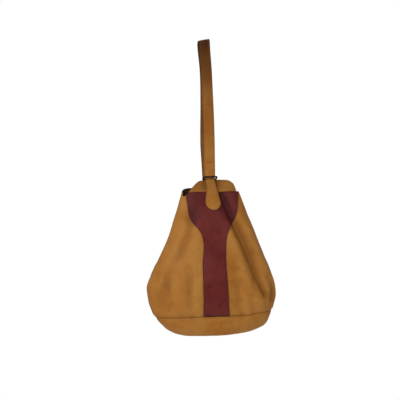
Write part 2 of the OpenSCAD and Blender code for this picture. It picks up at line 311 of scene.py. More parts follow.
def ladder(length, step, edge=(0, 0.25, 0.6, 1.1, 1.8, 2.6)):
    """Places from 0 to 1 along a length, close together at both ends, for edges that round off."""
    edge = [e for e in edge if e < length * 0.45]
    inner = length - 2 * edge[-1]
    count = max(2, int(round(inner / step)))
    middle = [edge[-1] + inner * i / count for i in range(1, count)]
    return np.array(edge + middle + [length - e for e in reversed(edge)]) / length


def set_attribute(mesh, name, values):
    mesh.attributes.new(name, "FLOAT", "POINT").data.foreach_set(
        "value", np.asarray(values, np.float32).ravel())


def new_object(name, points, faces):
    """Smooth mesh object from points in mm."""
    mesh = bpy.data.meshes.new(name)
    mesh.from_pydata((np.asarray(points, float) * MM).tolist(), [], faces)
    mesh.validate()
    mesh.polygons.foreach_set("use_smooth", np.ones(len(mesh.polygons), bool))
    mesh.update()
    obj = bpy.data.objects.new(name, mesh)
    bpy.context.collection.objects.link(obj)
    return obj


def grid_object(name, outer, inner, attributes, wrap=False):
    """Closed shell between two grids of points, in mm; wrap joins the last column to the first."""
    rows, cols = outer.shape[:2]
    size = rows * cols
    index = np.arange(size).reshape(rows, cols)
    if wrap:
        index = np.concatenate([index, index[:, :1]], 1)
    a, b, c, d = index[:-1, :-1], index[1:, :-1], index[1:, 1:], index[:-1, 1:]
    skin = np.stack([a, b, c, d], -1).reshape(-1, 4)
    faces = [skin, skin[:, ::-1] + size]

    def border(line):
        return np.stack([line[1:], line[:-1], line[:-1] + size, line[1:] + size], -1)

    faces.append(border(index[0, ::-1]))
    faces.append(border(index[-1]))
    if not wrap:
        faces.append(border(index[:, 0]))
        faces.append(border(index[::-1, -1]))
    points = np.concatenate([outer.reshape(-1, 3), inner.reshape(-1, 3)])
    obj = new_object(name, points, np.concatenate(faces).tolist())
    for key, values in attributes.items():
        set_attribute(obj.data, key, np.concatenate([values.ravel(), values.ravel()]))
    return obj


def edge_distance(p, wrap=False):
    """Distance of each grid point from the nearest border, along the grid's lines, in mm."""
    def along(axis):
        step = np.linalg.norm(np.diff(p, axis=axis), axis=-1)
        start = np.concatenate([np.zeros_like(step.take([0], axis)), np.cumsum(step, axis)], axis)
        return np.minimum(start, start.take([-1], axis) - start)
    rows = along(0)
    return rows if wrap else np.minimum(rows, along(1))


def leather(name, at, us, vs, thickness, tone_and_painted_light=None, wrap=False, groove=None, roll=None, flip=False,
            cut=None):
    """A leather piece: at(u, v, off) gives the points of its inner face plus off, for 2D u and v.

    Its edges round off. tone(u, v) is below 0 for darker and above 0 for lighter leather, from random
    tone and from painted shade in folds and painted highlight on ridges; groove is the distance from
    the edge of a sewn line that pulls in, roll(u, v) is how much deeper than the leather a turned edge
    reaches inward, and cut(u, v) weakens the dark line along an edge. flip turns the shell where the
    grid's own direction would make its faces point inward.
    """
    u, v = np.meshgrid(us, vs)
    middle = at(u, v, thickness / 2)
    d = edge_distance(middle, wrap)
    round_off = np.sqrt(np.clip(1 - (1 - np.clip(d / (thickness * 0.75), 0, 1)) ** 2, 0, 1))
    half = thickness / 2 * (0.45 + 0.55 * round_off)
    pull = 0.28 * bump((d - groove) / 0.7) if groove else 0.0
    outer = at(u, v, thickness / 2 + half - pull)
    deeper = roll(u, v) if roll else 0.0
    inner = at(u, v, thickness / 2 - half - deeper)
    if flip:
        outer, inner = inner, outer
    attributes = {"edge": np.exp(-d / 0.9) * (cut(u, v) if cut else 1.0),
                  "tone_and_painted_light": tone_and_painted_light(u, v) if tone_and_painted_light else np.zeros_like(u)}
    return grid_object(name, outer, inner, attributes, wrap)


def finish_piece(obj, body, material, node):
    """Give a piece its material, and let it stand for a CAD node and ride on a body."""
    obj.data.materials.append(material)
    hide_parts(node)
    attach(obj, body)


# ---------------- materials

class Nodes:
    """Short way to write a node tree."""

    def __init__(self, name):
        self.material = bpy.data.materials.new(name)
        self.material.use_nodes = True
        self.tree = self.material.node_tree
        self.shader = self.tree.nodes["Principled BSDF"]
        self.coords = self.add("ShaderNodeTexCoord").outputs["Object"]

    def add(self, kind, **settings):
        node = self.tree.nodes.new(kind)
        for key, value in settings.items():
            setattr(node, key, value)
        return node

    def link(self, source, target):
        self.tree.links.new(source, target)

    def attribute(self, name):
        return self.add("ShaderNodeAttribute", attribute_name=name).outputs["Fac"]

    def noise(self, scale, detail=4.0, roughness=0.5, stretch=None, distortion=0.0):
        node = self.add("ShaderNodeTexNoise")
        node.inputs["Scale"].default_value = scale
        node.inputs["Detail"].default_value = detail
        node.inputs["Roughness"].default_value = roughness
        node.inputs["Distortion"].default_value = distortion
        coords = self.coords
        if stretch:
            mapping = self.add("ShaderNodeMapping")
            mapping.inputs["Scale"].default_value = stretch
            self.link(coords, mapping.inputs["Vector"])
            coords = mapping.outputs["Vector"]
        self.link(coords, node.inputs["Vector"])
        return node.outputs["Fac"]

    def cells(self, scale, warp):
        node = self.add("ShaderNodeTexVoronoi", feature="F1")
        node.inputs["Scale"].default_value = scale
        add = self.add("ShaderNodeVectorMath", operation="ADD")
        self.link(self.coords, add.inputs[0])
        self.link(warp, add.inputs[1])
        self.link(add.outputs[0], node.inputs["Vector"])
        return node.outputs["Distance"]

    def math(self, operation, a, b):
        node = self.add("ShaderNodeMath", operation=operation)
        for socket, value in zip(node.inputs, (a, b)):
            if isinstance(value, (int, float)):
                socket.default_value = value
            else:
                self.link(value, socket)
        return node.outputs[0]

    def remap(self, value, low, high, to_low=0.0, to_high=1.0):
        node = self.add("ShaderNodeMapRange")
        limits = (("From Min", low), ("From Max", high), ("To Min", to_low), ("To Max", to_high))
        for key, number in limits:
            node.inputs[key].default_value = number
        self.link(value, node.inputs["Value"])
        return node.outputs["Result"]

    def mix(self, factor, a, b):
        node = self.add("ShaderNodeMix", data_type="RGBA")
        first, second = node.inputs[6], node.inputs[7]      # its two colour sockets
        for socket, value in ((node.inputs["Factor"], factor), (first, a), (second, b)):
            if isinstance(value, (int, float)):
                socket.default_value = value
            elif isinstance(value, tuple):
                socket.default_value = (*value, 1)
            else:
                self.link(value, socket)
        return node.outputs[2]

    def bumps(self, height, strength, distance, normal=None):
        node = self.add("ShaderNodeBump")
        node.inputs["Strength"].default_value = strength
        node.inputs["Distance"].default_value = distance
        self.link(height, node.inputs["Height"])
        if normal is not None:
            self.link(normal, node.inputs["Normal"])
        return node.outputs["Normal"]

    def set(self, **values):
        for key, value in values.items():
            socket = self.shader.inputs[key.replace("_", " ")]
            if isinstance(value, (int, float, tuple)):
                socket.default_value = value
            else:
                self.link(value, socket)
        return self.material


def srgb(r, g, b):
    """Linear colour from the 0 to 255 values of a screen colour."""
    return tuple(((c / 255 + 0.055) / 1.055) ** 2.4 if c > 10 else c / 255 / 12.92 for c in (r, g, b))


def leather_material(name, light, base, deep, fold_shade, edge, grain, bump_height, darker=None,
                     roughness=0.5):
    """Leather: mottled colour between light, base and deep, with painted shade in folds, painted highlight
    on ridges and dark cut edges.

    darker is its colour under painted shade, grain the scale of its pebbles and bump_height
    their height in metres.
    """
    n = Nodes(name)
    cloud = n.noise(14, 5, 0.55, distortion=0.6)
    patch = n.noise(42, 4, 0.6)
    speck = n.noise(420, 3, 0.6)
    streak = n.noise(30, 4, 0.6, stretch=(1, 1, 0.25))
    colour = n.mix(n.remap(cloud, 0.36, 0.66), base, light)
    colour = n.mix(n.remap(patch, 0.5, 0.78, 0, 0.6), colour, deep)
    colour = n.mix(n.remap(streak, 0.55, 0.8, 0, 0.35), colour, deep)
    colour = n.mix(n.remap(speck, 0.55, 0.8, 0, 0.18), colour, deep)
    tone_and_painted_light = n.attribute("tone_and_painted_light")
    # random tone, painted shade in folds (below 0, towards the fold shade colour) and painted highlight on
    # ridges (above 0)
    colour = n.mix(n.remap(tone_and_painted_light, 0, -1, 0, 0.75), colour, fold_shade)
    colour = n.mix(n.remap(tone_and_painted_light, 0, 1, 0, 0.55), colour, light)
    # painted shade: the strap darkest at its top by the peg, the strap ends below the ring, the flap beside
    # the strap end
    if darker:
        colour = n.mix(n.attribute("painted_shade"), colour, darker)
    colour = n.mix(n.math("MULTIPLY", n.attribute("edge"), 0.75), colour, edge)
    # pebbles: cells whose places are stirred by a small noise
    wobble = n.add("ShaderNodeTexNoise")
    wobble.inputs["Scale"].default_value = grain * 0.35
    n.link(n.coords, wobble.inputs["Vector"])
    shrink = n.add("ShaderNodeVectorMath", operation="SCALE")
    shrink.inputs["Scale"].default_value = 0.6 / grain
    n.link(wobble.outputs["Color"], shrink.inputs[0])
    pebbles = n.cells(grain, shrink.outputs[0])
    pores = n.noise(grain * 2.6, 3, 0.6)
    height = n.math("ADD", n.math("MULTIPLY", pebbles, -0.8), n.math("MULTIPLY", pores, 0.45))
    colour = n.mix(n.remap(pebbles, 0.45, 0.85, 0, 0.30), colour, deep)
    wrinkle = n.noise(95, 6, 0.62, stretch=(1, 1, 0.45), distortion=0.8)
    normal = n.bumps(wrinkle, 0.35, 0.0011)
    normal = n.bumps(height, 0.8, bump_height, normal)
    rough = n.math("ADD", n.remap(cloud, 0.3, 0.7, roughness - 0.05, roughness + 0.08),
                   n.remap(pebbles, 0.2, 0.8, -0.03, 0.08))
    return n.set(Base_Color=colour, Roughness=rough, Normal=normal, IOR=1.46,
                 Specular_IOR_Level=0.16)


TAN = leather_material(
    "tan leather", light=srgb(188, 131, 62), base=srgb(175, 112, 41), deep=srgb(156, 88, 22),
    fold_shade=srgb(122, 76, 26), edge=srgb(80, 42, 14), grain=900, bump_height=0.00022,
    darker=srgb(54, 18, 0), roughness=0.54)
BURGUNDY = leather_material(
    "burgundy leather", light=srgb(118, 48, 44), base=srgb(106, 36, 33), deep=srgb(72, 17, 17),
    fold_shade=srgb(54, 10, 12), edge=srgb(26, 3, 5), grain=620, bump_height=0.00034, roughness=0.5)
FLESH = leather_material(
    "strap underside", light=srgb(172, 122, 72), base=srgb(150, 100, 54), deep=srgb(112, 68, 32),
    fold_shade=srgb(112, 68, 32), edge=srgb(84, 48, 22), grain=1100, bump_height=0.0002,
    darker=srgb(60, 28, 8), roughness=0.72)


def lining_material():
    n = Nodes("lining cloth")
    threads = []
    for direction in "ZX":
        wave = n.add("ShaderNodeTexWave", wave_type="BANDS", bands_direction=direction)
        wave.inputs["Scale"].default_value = 320
        n.link(n.coords, wave.inputs["Vector"])
        threads.append(wave.outputs["Fac"])
    cloth = n.math("MULTIPLY", *threads)
    colour = n.mix(n.noise(22), srgb(64, 41, 31), srgb(44, 27, 20))
    return n.set(Base_Color=colour, Roughness=0.9, Normal=n.bumps(cloth, 0.5, 0.0002))


def metal_material():
    n = Nodes("dark metal")
    worn = n.noise(260, 4, 0.6)
    colour = n.mix(n.remap(worn, 0.5, 0.7), srgb(26, 8, 10), srgb(44, 20, 18))
    rough = n.remap(n.noise(500, 3), 0.3, 0.7, 0.42, 0.58)
    return n.set(Base_Color=colour, Roughness=rough, Metallic=0.12, Specular_IOR_Level=0.3,
                 Normal=n.bumps(worn, 0.15, 0.0001))


def thread_material(name, colour, dark):
    n = Nodes(name)
    twist = n.noise(1800, 2, 0.5)
    return n.set(Base_Color=n.mix(twist, colour, dark), Roughness=0.7,
                 Normal=n.bumps(twist, 0.4, 0.0001))


def board_material():
    n = Nodes("fibre board")
    fibre = n.noise(300, 6, 0.7)
    return n.set(Base_Color=n.mix(fibre, srgb(120, 108, 90), srgb(84, 74, 60)), Roughness=0.85,
                 Normal=n.bumps(fibre, 0.4, 0.0003))


LINING = lining_material()
METAL = metal_material()
THREAD_TAN = thread_material("tan thread", srgb(176, 122, 66), srgb(130, 82, 40))
THREAD_RED = thread_material("burgundy thread", srgb(104, 50, 50), srgb(66, 26, 28))
BOARD = board_material()


# ---------------- stitching

def stitches(name, path, normals, material, pitch=3.4, length=2.4, radius=0.32, proud=0.12):
    """A run of sewn stitches, small rounded threads along a line of points, in mm."""
    path, normals = np.asarray(path, float), np.asarray(normals, float)
    step = np.linalg.norm(np.diff(path, axis=0), axis=1)
    along = np.concatenate([[0], np.cumsum(step)])
    count = int(along[-1] // pitch)
    sides, rings = 6, 7

    def on_line(at, rows):
        return np.array([np.interp(at, along, rows[:, j]) for j in range(3)])

    points, faces = [], []
    for k in range(count):
        mid = (k + 0.5) * along[-1] / count
        base = len(points)
        for i in range(rings):
            f = i / (rings - 1)
            at = mid + (f - 0.5) * length
            c, nrm = on_line(at, path), on_line(at, normals)
            t = on_line(at + 0.2, path) - on_line(at - 0.2, path)
            t /= np.linalg.norm(t) + 1e-9
            nrm = nrm - t * (nrm @ t)
            nrm /= np.linalg.norm(nrm) + 1e-9
            side = np.cross(t, nrm)
            r = radius * math.sqrt(max(0.05, 1 - (2 * f - 1) ** 4))
            sink = proud - 0.55 * abs(2 * f - 1) ** 3
            for j in range(sides):
                a = 2 * math.pi * j / sides
                points.append(c + nrm * (sink + r * math.sin(a)) + side * (r * math.cos(a)))
        for i in range(rings - 1):
            for j in range(sides):
                q = base + i * sides
                faces.append((q + j, q + (j + 1) % sides, q + sides + (j + 1) % sides, q + sides + j))
        faces.append(tuple(base + j for j in reversed(range(sides))))
        faces.append(tuple(base + (rings - 1) * sides + j for j in range(sides)))
    obj = new_object(name, points, faces)
    obj.data.materials.append(material)
    return obj


def sewn(name, body, slot, material, at, uv, off, **how):
    """Stitches along a line of (u, v) on a leather piece, off mm above its inner face."""
    u = np.array([p[0] for p in uv], float)
    v = np.array([p[1] for p in uv], float)
    low = at(u[None], v[None], off)[0]
    high = at(u[None], v[None], off + 1.0)[0]
    obj = stitches(name, low, high - low, material, **how)
    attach(obj, body)
    return obj


# ---------------- wall and base

def fold_shade_and_highlight(phi, s):
    """Painted shade in the valleys and painted highlight on the ridges, from the relief."""
    return np.clip(relief(phi, s) / 6.0, -1, 1)


WALL_RUN = 290.0        # length of the wall's leather from the mouth to the base seam
WALL_V = ladder(WALL_RUN, 3.0)
LAP = 8.0               # how far the tan panels reach under the burgundy one


def turned_edge(u, v):
    """The mouth's edge reaches a little deeper than the leather behind it."""
    return 1.4 * bump(v * WALL_RUN / 1.8)


def side_panel(sign):
    """Left (sign -1) or right front panel: u from 0 at the side seam to 1 under the burgundy."""
    name = "front_left_panel" if sign < 0 else "front_right_panel"
    seam_phi = math.pi if sign < 0 else 2 * math.pi

    def place(u, v):
        edge_s = MOUTH + v * (SEAM - MOUTH)
        inner_x = sign * (curve(CENTRE, edge_s) - LAP) + curve(CENTRE_X, edge_s)
        phi = seam_phi + u * (phi_at(inner_x, edge_s) - seam_phi)
        top = rim_drop(phi)
        return phi, top + v * (SEAM - top)

    def at(u, v, off):
        phi, s = place(u, v)
        return wall(phi, s, off - HIDE)

    # the mouth's cut edge is lighter: the pale inside of the leather, and a painted highlight where the edge
    # catches the light
    panel = leather(name, at, ladder(130, 3.0), WALL_V, HIDE,
                    tone_and_painted_light=lambda u, v: fold_shade_and_highlight(*place(u, v)) + 2.2 * bump(v * WALL_RUN / 2.4),
                    flip=sign > 0, roll=turned_edge,
                    cut=lambda u, v: smooth((v * WALL_RUN - 3) / 4))
    finish_piece(panel, "bag", TAN, name)


side_panel(-1)
side_panel(1)


def back_place(u, v):
    phi = math.pi * u
    top = rim_drop(phi)
    return phi, top + v * (SEAM - top)


def back_at(u, v, off):
    phi, s = back_place(u, v)
    return wall(phi, s, off - HIDE)


# its colour carries painted shade in its folds and painted highlight on its ridges
back_panel = leather("back_panel", back_at, ladder(330, 3.0), WALL_V, HIDE,
                     tone_and_painted_light=lambda u, v: fold_shade_and_highlight(*back_place(u, v)), flip=True, roll=turned_edge)
finish_piece(back_panel, "bag", TAN, "back_panel")

CENTRE_OFF = 0.6        # inner face above the wall
CENTRE_T = 2.2
CENTRE_END = SEAM - 1.5
CENTRE_RUN = 288.0
CENTRE_SEAM = 3.2       # stitch line's distance from the panel's long edges


def centre_place(u, v):
    s = MOUTH + v * (CENTRE_END - MOUTH)
    x = (2 * u - 1) * curve(CENTRE, s) + curve(CENTRE_X, s)
    phi = phi_at(x, s)
    return phi, s + (rim_drop(phi) - MOUTH) * bump((s - MOUTH) / 22)


def centre_at(u, v, off):
    phi, s = centre_place(u, v)
    return wall(phi, s, off + CENTRE_OFF)


EDGES = (0, 0.3, 0.7, 1.2, 1.8, 2.4, 3.0, 3.6, 4.4, 5.5)
centre_panel = leather(
    "front_centre_panel", centre_at, ladder(70, 1.8, EDGES), ladder(CENTRE_RUN, 2.2, EDGES), CENTRE_T,
    # the panel's top is darker: painted shade under the flap's edge, added to its folds' painted shade and
    # highlight
    tone_and_painted_light=lambda u, v: fold_shade_and_highlight(*centre_place(u, v)) - 0.3 * smooth((0.2 - v) / 0.15),
    groove=CENTRE_SEAM, roll=lambda u, v: 3.0 * bump(v * CENTRE_RUN / 1.9))
finish_piece(centre_panel, "bag", BURGUNDY, "front_centre_panel")


HALVES = (("front", math.pi), ("back", 0.0))      # angle at which each half of the bag starts


def base_at_for(start):
    """Half of the base's side, from the angle start: its (phi, s) and its points."""
    def place(u, v):
        return start + u * math.pi, SEAM + v * BASE_RUN

    def at(u, v, off):
        phi, s = place(u, v)
        return wall(phi, s, off - HIDE)
    return place, at


for half, start in HALVES:
    place, at = base_at_for(start)
    # its colour carries painted shade in its folds and painted highlight on its ridges
    band = leather(f"base_band_{half}", at, ladder(300, 3.0), ladder(BASE_RUN, 2.4), HIDE,
                   tone_and_painted_light=lambda u, v, place=place: fold_shade_and_highlight(*place(u, v)), flip=True)
    finish_piece(band, "bag", TAN, f"base_band_{half}")


BASE_MIDDLE = -2.0      # x of the underside's middle


def bottom_at(u, v, off):
    """Bottom panel: u round its edge, v from 0 at its edge to 1 at its middle."""
    phi = 2 * math.pi * u
    rim_point = wall(phi, np.full_like(phi, SEAM + BASE_RUN), 0.0)
    shrink = (1 - v)[..., None]
    middle = np.array([BASE_MIDDLE, 0.0, 0.0])
    flat = middle + (rim_point - middle) * np.concatenate([shrink, shrink, np.ones_like(shrink)], -1)
    sag = -(BOTTOM + sag_at(flat[..., 0]))
    flat[..., 2] = rim_point[..., 2] * (1 - smooth(v * 6)) + sag * smooth(v * 6) + HIDE - off
    return flat


bottom = leather("bottom_panel", bottom_at, np.linspace(0, 1, 121)[:-1],
                 np.concatenate([ladder(60, 4)[:-6], [0.999]]), HIDE, wrap=True)
finish_piece(bottom, "bag", TAN, "bottom_panel")

# ---------------- lining and facings

LINING_IN = 3.0         # outer face of lining and facings, inside the wall's outer face
LINING_T = 0.8
SIDE = 0.6              # share of the bottom lining's rows on the base's side
FACING_H, FACING_T = 22.0, 1.0


def lining_at(u, v, off):
    phi = 2 * math.pi * u
    top = rim_drop(phi) + FACING_H - 1
    return wall(phi, top + v * (SEAM - 3 - top), off - LINING_IN - LINING_T)


lining_wall = leather("lining_wall", lining_at, np.linspace(0, 1, 181)[:-1],
                      ladder(270, 4.0), LINING_T, wrap=True, flip=True)
finish_piece(lining_wall, "bag", LINING, "lining_wall")


def lining_bottom_at(u, v, off):
    """Lining under the seam: down the base's side to v = SIDE, then flat to the middle."""
    phi = 2 * math.pi * u
    s = SEAM + np.clip(v / SIDE, 0, 1) * (BASE_RUN - 4)
    p = wall(phi, s, off - LINING_IN - LINING_T)
    shrink = np.clip(1 - (v - SIDE) / (1 - SIDE), 0.01, 1)
    p[..., 0] = (p[..., 0] - BASE_MIDDLE) * shrink + BASE_MIDDLE
    p[..., 1] *= shrink
    p[..., 2] += 2.2 * smooth((v - 0.4) / 0.2)
    return p


lining_bottom = leather("lining_bottom", lining_bottom_at, np.linspace(0, 1, 181)[:-1],
                        np.linspace(0, 1, 40), LINING_T, wrap=True, flip=True)
finish_piece(lining_bottom, "bag", LINING, "lining_bottom")

for half, start in HALVES:
    def facing_at(u, v, off, start=start):
        phi = start + u * math.pi
        return wall(phi, rim_drop(phi) + 0.4 + v * FACING_H, off - LINING_IN - FACING_T)
    facing = leather(f"{half}_facing", facing_at, ladder(150, 2.5), ladder(FACING_H, 2.2),
                     FACING_T, flip=True)
    finish_piece(facing, "bag", LINING, f"{half}_facing")

# ---------------- strap

QUARTER = 0.5 * math.pi * PEG_R     # length of the bend from the top to where a run hangs


def strap_line(l):
    """The strap's inner face at length l from its top, l < 0 in front: y, drop and its normal."""
    side = np.where(l < 0, -1.0, 1.0)
    l = np.abs(l)
    turn = np.clip(l / PEG_R, 0, 0.5 * math.pi)
    drop = np.maximum(l - QUARTER, 0)
    on_peg = l < QUARTER
    y = np.where(on_peg, PEG_R * np.sin(turn), curve(STRAP, drop))
    z = np.where(on_peg, PEG_R * np.cos(turn), -drop)
    slope = np.where(on_peg, 0.0, (curve(STRAP, drop + 0.5) - curve(STRAP, np.maximum(drop - 0.5, 0))))
    ny = np.where(on_peg, np.sin(turn), 1 / np.sqrt(1 + slope ** 2))
    nz = np.where(on_peg, np.cos(turn), slope / np.sqrt(1 + slope ** 2))
    return side * y, z, side * ny, nz


STRAP_WAVES = Waves(21, 90)
STRAP_SEAM = 2.9        # stitch line's distance from the edge


def strap_point(x, l, off):
    """Point of the strap x mm from its middle; it cups a little and sways between its ends."""
    y, z, ny, nz = strap_line(l)
    cup = 0.35 * (x / (STRAP_W / 2)) ** 2
    p = np.stack([x, y + ny * (off - cup), z + nz * (off - cup)], -1)
    drop = np.maximum(np.abs(l) - QUARTER, 0)
    sway = window(drop, 8, 300, 60)
    side = np.where(l < 0, -1.0, 1.0)
    # the front run hangs a little twisted below the fold, and the fold lies askew on its peg
    near_top = bump(drop / 45)
    p[..., 2] += 0.17 * x * near_top
    p[..., 0] -= 1.4 * bump((drop - 5) / 50)
    p[..., 0] += sway * np.where(side < 0, 0.7 * np.sin(drop / 62), 0.6)
    p[..., 0] += np.where(side < 0, curve(SWAY_FRONT, drop), curve(SWAY_BACK, drop))
    waves = STRAP_WAVES(p * np.array([0.3, 0.2, 1.0]))
    p[..., 1] += sway * (0.55 * waves + side * 0.02 * x * np.sin(drop / 80))
    return p


def strap_piece(name, first, last, inner, slot, material, sewn_edge=True):
    """One length of the strap from first to last along it, inner mm outside the peg."""
    length = last - first

    def at(u, v, off):
        return strap_point((u - 0.5) * STRAP_W, first + v * length, inner + off)
    us = ladder(STRAP_W, 1.2, EDGES[:7])
    vs = ladder(length, 2.0)
    obj = leather(name, at, us, vs, HIDE, groove=3.0 if sewn_edge else None, flip=True,
                  tone_and_painted_light=lambda u, v: 0.25 * STRAP_WAVES(at(u, v, 0)),
                  cut=lambda u, v: smooth(np.minimum(v, 1 - v) * length / 4))
    # painted shade along the strap, darkest at its top where it folds over the peg
    u, v = np.meshgrid(us, vs)
    drop = np.maximum(np.abs(first + v * length) - QUARTER, 0)
    dark = curve(STRAP_SHADE, drop).ravel()
    set_attribute(obj.data, "painted_shade", np.concatenate([dark, dark]))
    finish_piece(obj, "bag", material, name)
    if sewn_edge:
        for side, du in (("left", STRAP_SEAM / STRAP_W), ("right", 1 - STRAP_SEAM / STRAP_W)):
            sewn(f"{name}_stitch_{side}", "bag", slot, THREAD_TAN, at,
                 [(du, t) for t in np.linspace(0.01, 0.99, 120)], HIDE - 0.1,
                 pitch=3.6, length=2.5, radius=0.27)


UPPER_SEAM, LOWER_SEAM, BACKING_END = [drop + QUARTER for drop in (139.0, 273.0, 302.0)]
BUTT = 0.2              # gap between two lengths that meet
strap_piece("shoulder_strap", -UPPER_SEAM, UPPER_SEAM, HIDE, "worn_strap_leather", TAN)
strap_piece("strap_front_drop", -LOWER_SEAM, -UPPER_SEAM - BUTT, HIDE, "tan_leather", TAN)
strap_piece("strap_back_drop", UPPER_SEAM + BUTT, LOWER_SEAM, HIDE, "tan_leather", TAN)
strap_piece("strap_backing", -BACKING_END, BACKING_END, 0.0, "strap_lining_leather", FLESH,
            sewn_edge=False)

# ---------------- strap ends

TAB_START = 273.2
TAB_T = 1.9
TAB_SEAM = 2.8          # stitch line's distance from the edge
TAB_LIFT = {FRONT: CENTRE_OFF + 2.3, BACK: 0.4}     # inner face above the wall
LANDING, LANDING_FADE = 326.0, 26.0                 # drops over which it comes to lie on the bag


def tab_half(drop):
    """Half width of a strap end: a neck, then a paddle with a round tip."""
    tip_centre = TIP - PADDLE
    past = np.maximum(drop, tip_centre) - tip_centre
    round_tip = np.sqrt(np.clip(PADDLE ** 2 - past ** 2, 1.0, None))
    return np.where(drop > tip_centre, round_tip, curve(PADDLE_W, np.minimum(drop, tip_centre)))


def tab_at_for(side):
    """Points of a strap end: the free strap above turns smoothly into a patch on the bag."""
    def at(u, v, off):
        drop = TAB_START + v * (TIP - TAB_START)
        x = (2 * u - 1) * tab_half(drop)
        s = np.maximum(drop, MOUTH + 1)
        lift = TAB_LIFT[side] + off
        on_bag = wall(phi_at(x, s, side), s, lift)
        on_bag[..., 2] += s - drop
        free = strap_point(x, side * (drop + QUARTER), HIDE + off)
        free[..., 0] += curve(SHIFT, drop) * smooth((drop - 300) / 40)
        t = smooth((drop - LANDING) / LANDING_FADE)[..., None]
        return free * (1 - t) + on_bag * t
    return at


def paint_shade(obj, amount):
    """Painted shade: amount(points in mm) from 0 to 1."""
    p = np.empty(len(obj.data.vertices) * 3)
    obj.data.vertices.foreach_get("co", p)
    set_attribute(obj.data, "painted_shade", amount(p.reshape(-1, 3) / MM))


def round_ladder(length, tip, step, edge):
    """As ladder, with the last stretch spaced for a round tip."""
    plain = ladder(length, step, edge) * length
    plain = plain[plain < length - tip]
    around = [length - tip + tip * math.sin(a) for a in np.linspace(0.06, 0.5 * math.pi, 16)]
    return np.array(list(plain) + around) / length


for side, label in ((FRONT, "front_tab"), (BACK, "back_tab")):
    at = tab_at_for(side)
    length = TIP - TAB_START
    tab = leather(label, at, ladder(30, 1.2, EDGES[:8]), round_ladder(length, PADDLE, 1.4, EDGES[:8]), TAB_T,
                  groove=TAB_SEAM, flip=side == BACK, tone_and_painted_light=lambda u, v: np.full_like(u, 0.12),
                  cut=lambda u, v: smooth(v * length / 6))
    # painted shade across the strap end below the ring, where it bends onto the bag
    paint_shade(tab, lambda p: 0.04 + 0.22 * bump((p[:, 2] + 325) / 18))
    finish_piece(tab, "bag", TAN, label)
    # the stitches run down one side, round the tip and up the other side
    down_side = [((1 - TAB_SEAM / tab_half(drop)) / 2 + 0.5, (drop - TAB_START) / length)
                 for drop in np.linspace(TAB_START + 1, TIP - PADDLE, 60)]
    round_tip = []
    for a in np.linspace(0.05, math.pi - 0.05, 40):
        drop = TIP - PADDLE + (PADDLE - TAB_SEAM) * math.sin(a)
        x = (PADDLE - TAB_SEAM) * math.cos(a)
        round_tip.append((x / (2 * float(tab_half(drop))) + 0.5, (drop - TAB_START) / length))
    up_side = [(1 - u, v) for u, v in reversed(down_side)]
    sewn(f"{label}_stitches", "bag", "tan_leather", THREAD_TAN, at, down_side + round_tip + up_side,
         TAB_T - 0.15, pitch=3.3, length=2.4, radius=0.3)

# ---------------- flap, chape and ring

# the flap's profile from its root to its top: y, drop
FLAP_PATH = table(
    (19.2, 330.6), (17.6, 328.2), (13.5, 327.6), (7, 330.5), (0, 336), (-6, 342), (-10, 344.2),
    (-12.2, 340), (-11.4, 333), (-8.9, 325.5), (-8, 319.5), (-8, 313.4))
FLAP_TOP = 313.4


def path_point(t):
    """Point (y, z) and tangent of the flap's profile, t from 0 at its root to 1 at its top."""
    steps = np.linalg.norm(np.diff(FLAP_PATH, axis=0), axis=1)
    along = np.concatenate([[0], np.cumsum(steps)])
    rows = np.column_stack([along, FLAP_PATH])
    def pos(t):
        l = np.clip(t, 0, 1) * along[-1]
        return np.stack([curve(rows, l, 1), -curve(rows, l, 2)], -1)
    p, ahead, behind = pos(t), pos(t + 0.004), pos(t - 0.004)
    d = ahead - behind
    d /= np.linalg.norm(d, axis=-1, keepdims=True) + 1e-9
    return p, d


def flap_half_width(t, z):
    """The flap is widest where it crosses the mouth and narrows to its round-cornered top."""
    corner = 10.0
    below = np.clip(-z - FLAP_TOP, 0, None)
    slope_w = 41.5 + 0.72 * below
    k = np.clip(1 - below / corner, 0, 1)
    rounded = slope_w - corner * (1 - np.sqrt(np.clip(1 - k ** 2, 0, 1)))
    standing = smooth((t - 0.50) / 0.1)
    crossing = 50.0 - 3.0 * smooth(1 - t / 0.1)
    limit = np.where(t < 0.75, 59.0, 70.0)
    return crossing * (1 - standing) + np.minimum(rounded, limit) * standing


FLAP_WAVES = Waves(31, 55)
# along the flap from its root, the share of its width that it reaches to the left and to the right
FLAP_LEFT = table((0, 0.76), (0.3, 0.78), (0.5, 0.86), (0.65, 0.89), (1, 0.89))
FLAP_RIGHT = table((0, 0.76), (0.3, 0.82), (0.5, 0.96), (0.6, 1), (1, 1))


def flap_at_for(inner):
    """Points of a sheet of the flap whose inner face lies inner mm off the profile."""
    def at(u, v, off):
        p, d = path_point(v)
        half = flap_half_width(v, p[..., 1])
        x = (2 * u - 1) * half
        x = x * np.where(x < 0, curve(FLAP_LEFT, v), curve(FLAP_RIGHT, v))
        arch = 0.0022 * np.sin(math.pi * v) ** 2 * x * x
        lift = inner + off
        y = p[..., 0] - lift * d[..., 1] + arch
        z = p[..., 1] + lift * d[..., 0]
        crown = 1.4 * smooth((v - 0.85) / 0.15) * (1 - (x / 36) ** 2)
        q = np.stack([x, y, z + crown], -1)
        loose = np.sin(math.pi * np.clip(v, 0, 1))
        q[..., 1] += 0.5 * loose * FLAP_WAVES(q)
        q[..., 0] += 3.0 + 5.5 * smooth((v - 0.55) / 0.4)
        return q
    return at


def blended(obj, material, node):
    """As finish_piece, for a sheet that is sewn to the bag at its root; it is then taken off the flap body
    again and its place baked into its mesh.
    """
    finish_piece(obj, "flap", material, node)
    obj.parent = None
    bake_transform(obj)


